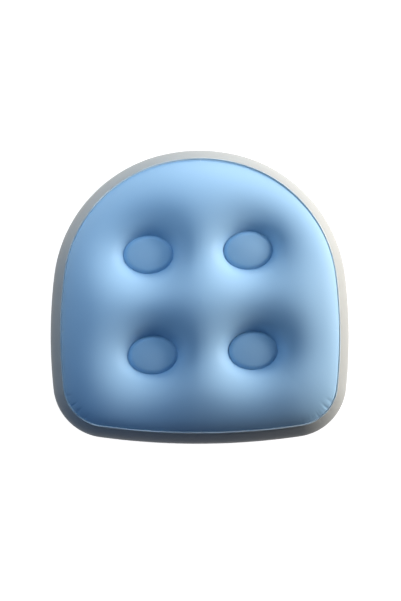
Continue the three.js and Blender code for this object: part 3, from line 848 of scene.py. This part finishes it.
back_plan, back_faces = sheet_plan(BACK_STEPS, BACK_LINE_STEPS, BACK_RINGS)
gap, run, inside, on_seam, order, normals = sheet_pieces(back_plan, back_faces, BACK_STEPS)
shape = np.column_stack([back_plan, back_height(back_plan)])
held = air_held | under_patch(air_plan, PATCH_SPARE)
move = inflated(air_plan, air_faces, back_height(air_plan), held, BACK_AIR_MOVE)
free = ~(inside | on_seam | under_patch(back_plan))
shape += carried(move, air_plan, air_faces, back_plan) * free[:, None]
pad, groove = air_pad(back_plan)
shape[:, 2] += pad
back_folds = [
    *gathered(rng, *BACK_CORNER, PUCKER_DEPTH),
    *gathered(rng, perimeter - BACK_CORNER[1], perimeter - BACK_CORNER[0], PUCKER_DEPTH),
]
shape[:, 2] -= puckered(run, gap, back_folds)
shape[:, 2] = back_seam_z - shape[:, 2]
points, faces = with_lip(shape, back_faces, order, normals, back_seam_z, -1, rng)
from_valve = points[:, :2] - WELD_MIDDLE
reach = np.linalg.norm(from_valve, axis=1)
faces = [f[::-1] for f in faces if min(reach[v] for v in f) > VALVE_HOLE]
# The cut edge round the valve is drawn in to a true circle
uses = Counter(frozenset((f[k - 1], f[k])) for f in faces for k in range(len(f)))
for pair, number in uses.items():
    for v in pair:
        if number == 1 and reach[v] < 2 * VALVE_HOLE:
            points[v, :2] = WELD_MIDDLE + from_valve[v] / reach[v] * VALVE_HOLE
kept = sorted({v for f in faces for v in f})
renumbered = {v: k for k, v in enumerate(kept)}
back_skin = mesh_object("back_skin", points[kept], [tuple(renumbered[v] for v in f) for f in faces])
weld_marks(back_skin, groove, gap, order, kept)
thick(back_skin)
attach(back_skin, "cushion")
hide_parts("back_panel")

back_film = film_material(
    "grey back film",
    (0.45, 0.455, 0.43),
    (0.50, 0.505, 0.48),
    (0.52, 0.525, 0.50),
    # Painted highlight: the lip's paler colour shows the bright line along the seam
    (0.55, 0.56, 0.55),
    Low_Roughness=0.34,
    High_Roughness=0.44,
)
back_skin.data.materials.append(back_film)


# The four tension columns
# Oval tubes of thin film stand between the face and the back inside each pair of oval welds.
# The air pulls them taut, waists them slightly, and reaches into them through a round vent.

COLUMN_STEPS = 72
COLUMN_ROWS = 14
COLUMN_WAIST = 0.0016
VENT_RADIUS = 0.006


def solid(name, shape):
    """An object in the scene, made of a finished bmesh."""
    mesh = bpy.data.meshes.new(name)
    shape.to_mesh(mesh)
    shape.free()
    return in_scene(name, mesh)


def combined(obj, other, operation):
    """Cuts a solid with another one or joins them, and uses the other one up."""
    step = obj.modifiers.new("step", "BOOLEAN")
    step.operation = operation
    step.solver = "EXACT"
    step.object = other
    finished(obj)
    bpy.data.objects.remove(other)


column_film = film_material(
    "clear blue column film",
    (0.25, 0.39, 0.56),
    (0.28, 0.42, 0.60),
    (0.24, 0.38, 0.56),
    (0.24, 0.38, 0.56),
    Low_Roughness=0.28,
    High_Roughness=0.36,
)
top = face_seam_z - FACE_SINK - SHEET - WELD_GAP
bottom = back_seam_z + WELD_SINK + SHEET + WELD_GAP
for name, _, _, centre in weld_centres():
    angles = np.linspace(0, 2 * pi, COLUMN_STEPS, endpoint=False)
    levels = np.linspace(bottom, top, COLUMN_ROWS + 1)
    waist = COLUMN_WAIST * np.sin(pi * np.linspace(0, 1, COLUMN_ROWS + 1))
    sections = [(0.0, bottom), (WELD_BAND / 2, bottom)]
    sections += [(WELD_BAND + w, z) for w, z in zip(waist, levels)]
    sections += [(WELD_BAND / 2, top), (0.0, top)]
    points = [
        np.column_stack([weld_ring(centre, angles, inset), np.full(COLUMN_STEPS, z)])
        for inset, z in sections
    ]
    ring = np.arange(len(sections) * COLUMN_STEPS).reshape(-1, COLUMN_STEPS)
    outward = [(a, d, c, b) for a, b, c, d in bands(ring)]
    column = mesh_object(f"column_skin_{name}", np.vstack(points), outward)
    thick(column)
    drill = bmesh.new()
    bmesh.ops.create_cone(
        drill,
        cap_ends=True,
        segments=32,
        radius1=VENT_RADIUS,
        radius2=VENT_RADIUS,
        depth=4 * WELD_HALF_SIZE[0],
        matrix=Matrix.Translation((*centre, (top + bottom) / 2)) @ Matrix.Rotation(pi / 2, 4, "Y"),
    )
    combined(column, solid("drill", drill), "DIFFERENCE")
    column.data.materials.clear()
    column.data.materials.append(column_film)
    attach(column, "cushion")
    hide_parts(f"column_{name}")


# The suction cup tabs
# Moulded vinyl top hats, each with its brim welded to the back. The cup's neck goes through the
# hole in the crown, and its head turns in the room above.

TURNED_STEPS = 96
CORNER_SHARE = 0.45
TAB_EDGE = 0.0006
TAB_FLANGE = 0.001
TAB_HOLE = 0.0033
TAB_FACE = 0.0143
HAT_ROOM = 0.0083
HAT_RADIUS = 0.0095
HAT_DRAFT = 0.00025
TAB_CEILING = 0.0155
SEAT_GAP = 0.0003


def softened(profile, size, closed):
    """Rounds the corners of a profile with small arcs, which leave part of each side straight."""
    profile = [np.array(p, float) for p in profile]
    count = len(profile)
    result = []
    for k, corner in enumerate(profile):
        if not closed and k in (0, count - 1):
            result.append(corner)
            continue
        before, after = profile[k - 1], profile[(k + 1) % count]
        into, out = before - corner, after - corner
        length_in, length_out = np.linalg.norm(into[:2]), np.linalg.norm(out[:2])
        a = corner + into * min(size / length_in, CORNER_SHARE)
        b = corner + out * min(size / length_out, CORNER_SHARE)
        for t in (0, 0.25, 0.5, 0.75, 1):
            result.append((1 - t) ** 2 * a + 2 * t * (1 - t) * corner + t**2 * b)
    return result


def turned(name, centre, profile, closed=False, drape=None):
    """A body turned about its axis from points that give radius and height. Where a point's third
    number is 1 and drape is given, its height counts from the draped surface."""
    angles = np.linspace(0, 2 * pi, TURNED_STEPS, endpoint=False)
    points, rings = [], []
    for point in profile:
        radius, height = point[:2]
        follow = point[2] if len(point) > 2 else 0
        around = 1 if radius < 1e-7 else TURNED_STEPS
        plan = centre + radius * np.column_stack([np.cos(angles), np.sin(angles)])[:around]
        z = np.full(around, float(height))
        if drape is not None and follow:
            z += follow * drape(plan)
        rings.append(len(points) + np.arange(TURNED_STEPS) % around)
        points += list(np.column_stack([plan, z]))
    faces = []
    for low, high in zip(rings, rings[1:] + rings[:1] if closed else rings[1:]):
        for k in range(TURNED_STEPS):
            n = (k + 1) % TURNED_STEPS
            face = [low[k], low[n], high[n], high[k]]
            faces.append(tuple(int(v) for i, v in enumerate(face) if v not in face[:i]))
    return finished(mesh_object(name, points, faces))


tab_profile = softened(
    [
        (TAB_HOLE, TAB_FACE, 0),
        (HAT_RADIUS, TAB_FACE, 0),
        (HAT_RADIUS + HAT_DRAFT, -SEAT_GAP - TAB_FLANGE, 1),
        (tab_radius, -SEAT_GAP - TAB_FLANGE, 1),
        (tab_radius, -WELD_GAP, 1),
        (HAT_ROOM + HAT_DRAFT, -WELD_GAP, 1),
        (HAT_ROOM, TAB_CEILING, 0),
        (TAB_HOLE, TAB_CEILING, 0),
    ],
    TAB_EDGE,
    True,
)


def back_surface(plan):
    """The height of the back's outer skin, which the flanges welded to it follow."""
    return back_seam_z - back_height(plan)


tab_vinyl = film_material(
    "moulded tab vinyl",
    (0.42, 0.425, 0.41),
    (0.46, 0.465, 0.45),
    Grain_Scale=900.0,
    Low_Roughness=0.30,
    High_Roughness=0.38,
)
for name, place in cup_places.items():
    tab = turned(f"cup_tab_skin_{name}", place, tab_profile, closed=True, drape=back_surface)
    tab.data.materials.append(tab_vinyl)
    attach(tab, "cushion")
    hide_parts(f"cup_tab_{name}")


# The suction cups
# Clear soft vinyl, moulded in one piece: a thin bell, a boss, and a neck with a head that buttons
# through the tab and lets the cup turn.

CUP_RADIUS = 0.0225
CUP_HEIGHT = 0.014
CUP_HOLLOW = 0.0078
CUP_HOLLOW_POWER = 2.6
CUP_BELL_POWER = 1.45
CUP_RIM = 0.001
CUP_RIM_INSIDE = 0.955
CUP_RIM_FOOT = 0.985
CUP_RIM_EDGE = 0.0003
CUP_BOSS = 0.0056
CUP_BOSS_HEIGHT = 0.0019
CUP_NECK = 0.003
CUP_HEAD_BOTTOM = 0.0158
CUP_HEAD_TOP = 0.019
CUP_HEAD_SLOPE = (0.0022, 0.0012)
CUP_EDGE = 0.0005
CUP_STEPS = 17
CLEAR_GLOSS = 0.5
CLOUD_SHADE = 0.94
CLOUD_ROUGHNESS = 0.06

shares = np.linspace(0, 1, CUP_STEPS)
hollow = [
    (CUP_RADIUS * CUP_RIM_INSIDE * t, CUP_HOLLOW * (1 - t**CUP_HOLLOW_POWER)) for t in shares
]
shoulder = CUP_HEIGHT - CUP_BOSS_HEIGHT
bell = [
    (
        CUP_BOSS + (CUP_RADIUS - CUP_BOSS) * t,
        shoulder + (CUP_RIM - shoulder) * t**CUP_BELL_POWER,
    )
    for t in shares[::-1]
]
rim = [(CUP_RADIUS * CUP_RIM_FOOT, 0.0), (CUP_RADIUS, CUP_RIM_EDGE)]
head = softened(
    [
        bell[-1],
        (CUP_BOSS, CUP_HEIGHT),
        (CUP_NECK, CUP_HEIGHT),
        (CUP_NECK, CUP_HEAD_BOTTOM),
        (CUP_BOSS, CUP_HEAD_BOTTOM),
        (CUP_BOSS, CUP_HEAD_TOP - CUP_HEAD_SLOPE[1]),
        (CUP_BOSS - CUP_HEAD_SLOPE[0], CUP_HEAD_TOP),
        (0.0, CUP_HEAD_TOP),
    ],
    CUP_EDGE,
    False,
)
cup_profile = [*hollow, *rim, *bell[:-1], *head]


def clear_material(name, colour, roughness, clearness):
    """Clear or milky vinyl, with faint flow clouds from the mould."""
    material = film_material(
        name,
        colour,
        [c * CLOUD_SHADE for c in colour],
        gloss=CLEAR_GLOSS,
        Cloud_Scale=90.0,
        Grain_Scale=500.0,
        Low_Roughness=roughness,
        High_Roughness=roughness + CLOUD_ROUGHNESS,
    )
    shader = material.node_tree.nodes["Principled BSDF"]
    shader.inputs["Transmission Weight"].default_value = clearness
    shader.inputs["IOR"].default_value = 1.53
    return material


cup_vinyl = clear_material("clear cup vinyl", (0.86, 0.90, 0.92), 0.10, 0.82)
for name, place in cup_places.items():
    cup = turned(f"suction_cup_skin_{name}", place, cup_profile)
    cup.data.materials.append(cup_vinyl)
    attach(cup, f"cup_{name}")
    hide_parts(f"suction_cup_{name}")


# The air valve
# Milky soft vinyl in four parts: a flanged well welded to the back, a stem that pulls out of it to
# blow through, a plug on a short strap, and a flap inside that keeps the air in.

# Heights
VALVE_MOUTH = 0.0151
PLUG_FACE = 0.0132
WELL_FLOOR = 0.0266
STEM_END = 0.0354
VALVE_FLANGE = 0.001
BEAD_HEIGHT = 0.0015
COLLAR_HEIGHT = 0.001
EAR_HEIGHT = 0.001
STRAP_HEIGHT = 0.0008
PULL_HEIGHT = 0.001
PEG_HEIGHT = 0.003
FLAP_HEIGHT = 0.0006
# Radii, and how far the bars reach from the valve's middle
WELL_RADIUS = 0.0104
WELL_WALL = 0.0009
BORE_RADIUS = 0.0036
STEM_RADIUS = 0.005
BEAD_RADIUS = 0.0058
COLLAR_RADIUS = 0.007
PLUG_RADIUS = 0.0065
PLUG_DISH = ((0.0, 0.0004), (0.6, 0.0002))
PEG_TAPER = 0.001
FLAP_RADIUS = 0.0045
HINGE_REACH = 0.00725
HINGE_PLAY = 0.00015
EAR_REACH = 0.0011
EAR_ROOT = 0.0007
PULL_REACH = 0.0035
TONGUE_REACH = (-0.0057, -0.0018)
# Widths and rounded edges
EAR_WIDTH = 0.004
STRAP_WIDTH = 0.0036
PULL_WIDTH = 0.005
TONGUE_WIDTH = 0.003
VALVE_EDGE = 0.00035
EAR_EDGE = 0.00025
DROP_EDGE = 0.0002
STRAP_EDGE = 0.0002
PULL_EDGE = 0.0003
FLAP_EDGE = 0.0002
TONGUE_EDGE = 0.00015


def bar(name, reach, width, bottom, height, edge):
    """A rounded bar beside the valve's middle, along X between two reaches."""
    shape = bmesh.new()
    bmesh.ops.create_cube(shape, size=1)
    size = Vector((reach[1] - reach[0], width, height))
    middle = Vector((WELD_MIDDLE[0] + sum(reach) / 2, WELD_MIDDLE[1], bottom + height / 2))
    for vertex in shape.verts:
        vertex.co = Vector(a * b for a, b in zip(vertex.co, size)) + middle
    bmesh.ops.bevel(shape, geom=shape.edges[:], offset=edge, segments=3, profile=0.5, affect="EDGES")
    return solid(name, shape)


valve_vinyl = clear_material("milky valve vinyl", (0.80, 0.84, 0.86), 0.22, 0.35)


def valve_piece(obj, body, replaced):
    """Gives a part of the valve its vinyl, ties it to its body and hides its solid."""
    obj.data.materials.clear()
    obj.data.materials.append(valve_vinyl)
    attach(obj, body)
    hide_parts(replaced)


well_inside = WELL_RADIUS - WELL_WALL
base_profile = softened(
    [
        (VALVE_RADIUS, -SEAT_GAP - VALVE_FLANGE, 1),
        (VALVE_RADIUS, -WELD_GAP, 1),
        (WELL_RADIUS, -WELD_GAP, 1),
        (WELL_RADIUS, WELL_FLOOR, 0),
        (STEM_RADIUS + SEAT_GAP, WELL_FLOOR, 0),
        (STEM_RADIUS + SEAT_GAP, WELL_FLOOR - WELL_WALL, 0),
        (well_inside, WELL_FLOOR - WELL_WALL, 0),
        (well_inside, -SEAT_GAP - VALVE_FLANGE, 1),
    ],
    VALVE_EDGE,
    True,
)
base_profile = base_profile[::-1]
valve_base = turned("valve_base_skin", WELD_MIDDLE, base_profile, closed=True, drape=back_surface)
valve_piece(valve_base, "cushion", "valve_base")

stem_profile = softened(
    [
        (BORE_RADIUS, VALVE_MOUTH),
        (BEAD_RADIUS, VALVE_MOUTH),
        (BEAD_RADIUS, VALVE_MOUTH + BEAD_HEIGHT),
        (STEM_RADIUS, VALVE_MOUTH + BEAD_HEIGHT),
        (STEM_RADIUS, STEM_END - COLLAR_HEIGHT),
        (COLLAR_RADIUS, STEM_END - COLLAR_HEIGHT),
        (COLLAR_RADIUS, STEM_END),
        (BORE_RADIUS, STEM_END),
    ],
    VALVE_EDGE,
    True,
)
valve_stem = turned("valve_stem_skin", WELD_MIDDLE, stem_profile, closed=True)
knuckle = HINGE_REACH + HINGE_PLAY
ear_reach = (-knuckle - EAR_REACH, -BORE_RADIUS - EAR_ROOT)
ear = bar("ear", ear_reach, EAR_WIDTH, VALVE_MOUTH, EAR_HEIGHT, EAR_EDGE)
drop_bottom = PLUG_FACE + HINGE_PLAY
drop_height = VALVE_MOUTH + EAR_HEIGHT - drop_bottom
drop_reach = (-knuckle - EAR_REACH, -knuckle)
drop = bar("drop", drop_reach, EAR_WIDTH, drop_bottom, drop_height, DROP_EDGE)
combined(valve_stem, ear, "UNION")
combined(valve_stem, drop, "UNION")
valve_piece(valve_stem, "stem", "valve_stem")

plug_top = VALVE_MOUTH - SEAT_GAP
plug_profile = [
    *((PLUG_RADIUS * share, PLUG_FACE + dish) for share, dish in PLUG_DISH),
    (PLUG_RADIUS, PLUG_FACE),
    (PLUG_RADIUS, plug_top),
    (BORE_RADIUS - SEAT_GAP, plug_top),
    (BORE_RADIUS - SEAT_GAP - PEG_TAPER, plug_top + PEG_HEIGHT),
    (0.0, plug_top + PEG_HEIGHT),
]
plug_profile = softened(plug_profile, VALVE_EDGE, False)
valve_plug = turned("valve_plug_skin", WELD_MIDDLE, plug_profile)
strap_reach = (HINGE_PLAY - HINGE_REACH, -BORE_RADIUS)
strap = bar("strap", strap_reach, STRAP_WIDTH, PLUG_FACE, STRAP_HEIGHT, STRAP_EDGE)
pull_reach = (BORE_RADIUS, PLUG_RADIUS + PULL_REACH)
pull = bar("pull", pull_reach, PULL_WIDTH, PLUG_FACE, PULL_HEIGHT, PULL_EDGE)
combined(valve_plug, strap, "UNION")
combined(valve_plug, pull, "UNION")
valve_piece(valve_plug, "plug", "valve_plug")

flap_bottom = STEM_END + SEAT_GAP
flap_profile = softened(
    [
        (0.0, flap_bottom),
        (FLAP_RADIUS, flap_bottom),
        (FLAP_RADIUS, flap_bottom + FLAP_HEIGHT),
        (0.0, flap_bottom + FLAP_HEIGHT),
    ],
    FLAP_EDGE,
    False,
)
check_flap = turned("check_flap_skin", WELD_MIDDLE, flap_profile)
tongue = bar("tongue", TONGUE_REACH, TONGUE_WIDTH, flap_bottom, FLAP_HEIGHT, TONGUE_EDGE)
combined(check_flap, tongue, "UNION")
valve_piece(check_flap, "flap", "check_flap")


# Studio
# Only for the picture: large soft lamps stand low at the right and beyond the round end, and weak
# ones near the cushion fill its dimples. The pale floor lets the light of one below reach the back.

FAR = 1.7
NEAR = 0.6
WARM = (1, 0.86, 0.72)
PLAIN = (1, 0.95, 0.88)
COOL = (0.40, 0.68, 1)
SKY = (0.5, 0.74, 1)
DEEP = (0.08, 0.38, 1)
FLOOR_REACH = 3


def lamp(name, azimuth, elevation, distance, size, power, colour):
    """A round soft lamp that faces the cushion from an azimuth and an elevation in degrees."""
    light = bpy.data.lights.new(name, "AREA")
    light.shape = "DISK"
    light.size = size
    light.energy = power
    light.color = colour
    obj = in_scene(name, light)
    a, e = radians(azimuth), radians(elevation)
    direction = Vector((cos(e) * cos(a), cos(e) * sin(a), sin(e)))
    obj.location = Vector((0, 0, equator)) + direction * distance
    obj.rotation_euler = direction.to_track_quat("Z", "Y").to_euler()


# Azimuth, elevation, distance, size, power and colour
lamp("key", 13, 16, FAR, 0.6, 25, PLAIN)
lamp("low key", 30, 8, FAR, 0.5, 5, WARM)
lamp("near key", 45, 16, FAR, 0.6, 7, WARM)
lamp("round end", 80, 8, FAR, 0.5, 11, PLAIN)
lamp("sky", 30, 25, FAR, 0.8, 5.5, COOL)
lamp("near round end", 105, 45, NEAR, 0.3, 1.0, SKY)
lamp("near straight end", 235, 36, NEAR, 0.3, 0.2, DEEP)
lamp("near left", 145, 12, NEAR, 0.3, 0.54, WARM)
lamp("near left high", 160, 45, NEAR, 0.3, 0.5, COOL)
lamp("below", 250, -80, FAR, 0.8, 8, PLAIN)


def seen_white(tree):
    """1 for the camera and for what gloss and clear vinyl show, 0 for light on the object."""
    path = tree.nodes.new("ShaderNodeLightPath")
    total = path.outputs["Is Camera Ray"]
    for kind in ("Is Glossy Ray", "Is Transmission Ray"):
        both = node(tree.nodes, "ShaderNodeMath", operation="MAXIMUM")
        tree.links.new(total, both.inputs[0])
        tree.links.new(path.outputs[kind], both.inputs[1])
        total = both.outputs[0]
    return total


world = bpy.data.worlds.new("room")
bpy.context.scene.world = world
world.use_nodes = True
nodes, link = world.node_tree.nodes, world.node_tree.links.new
background = nodes["Background"]
mixer = node(nodes, "ShaderNodeMix", data_type="RGBA")
mixer.inputs["A"].default_value = (0.01, 0.01, 0.012, 1)
mixer.inputs["B"].default_value = (1, 1, 1, 1)
link(seen_white(world.node_tree), mixer.inputs["Factor"])
link(mixer.outputs["Result"], background.inputs["Color"])

corners = np.array(((-1, -1, 0), (1, -1, 0), (1, 1, 0), (-1, 1, 0))) * FLOOR_REACH
floor = mesh_object("floor", corners, [(0, 1, 2, 3)])
floor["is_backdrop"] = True
material = bpy.data.materials.new("pale floor")
material.use_nodes = True
nodes, link = material.node_tree.nodes, material.node_tree.links.new
nodes.clear()
result = nodes.new("ShaderNodeOutputMaterial")
matte = nodes.new("ShaderNodeBsdfDiffuse")
matte.inputs["Color"].default_value = (0.25, 0.25, 0.25, 1)
glow = nodes.new("ShaderNodeEmission")
both = nodes.new("ShaderNodeAddShader")
clear = nodes.new("ShaderNodeBsdfTransparent")
seen = nodes.new("ShaderNodeNewGeometry")
sided = nodes.new("ShaderNodeMixShader")
link(seen_white(material.node_tree), glow.inputs["Strength"])
link(matte.outputs[0], both.inputs[0])
link(glow.outputs[0], both.inputs[1])
# Shadow rays and the underside pass through, so that the lamp below lights the back
path = nodes.new("ShaderNodeLightPath")
open_side = node(nodes, "ShaderNodeMath", operation="MAXIMUM")
link(seen.outputs["Backfacing"], open_side.inputs[0])
link(path.outputs["Is Shadow Ray"], open_side.inputs[1])
link(open_side.outputs[0], sided.inputs["Fac"])
link(both.outputs[0], sided.inputs[1])
link(clear.outputs[0], sided.inputs[2])
link(sided.outputs[0], result.inputs["Surface"])
floor.data.materials.append(material)
bpy.context.scene.view_settings.view_transform = "Standard"

boxes = [[list(map(float, corner)) for corner in box] for box in (cad_bounds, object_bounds())]
